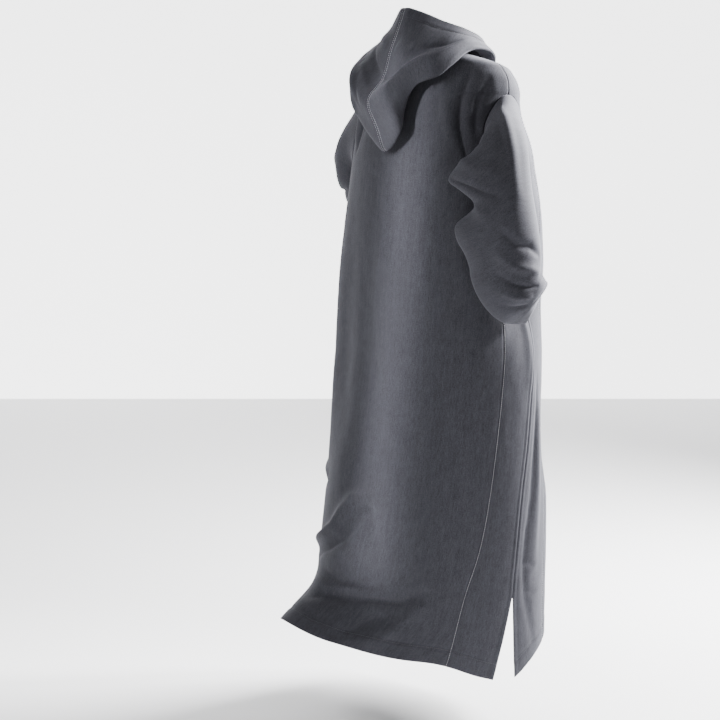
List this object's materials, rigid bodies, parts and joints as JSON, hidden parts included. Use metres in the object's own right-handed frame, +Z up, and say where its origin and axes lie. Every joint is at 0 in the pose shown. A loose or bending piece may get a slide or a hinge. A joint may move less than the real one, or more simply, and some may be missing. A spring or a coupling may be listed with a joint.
{
  "type": "djellaba robe",
  "caption": "Dark charcoal hooded djellaba in brushed fleece: long sleeves, pointed hood lying down on the back, ankle length, open slits at both sides of the hem, in its worn, hollow shape.",
  "frame": {"origin": "centre of the neck opening, level with the back of the neckline, where the wearer's neck and shoulders carry the robe", "axes": "+Z up, the wearer faces -Y, the wearer's right hand is on the -X side"},
  "size_m": [0.673, 0.675, 1.4691],
  "materials": {
    "cloth": "matt brushed pile"
  },
  "bodies": {
    "root": {"back_panel": "cloth", "front_panel": "cloth", "gore_back_right": "cloth", "gore_back_left": "cloth", "gore_front_right": "cloth", "gore_front_left": "cloth", "sleeve_right": "cloth", "sleeve_left": "cloth", "hood_right": "cloth", "hood_left": "cloth"}
  },
  "joints": []
}
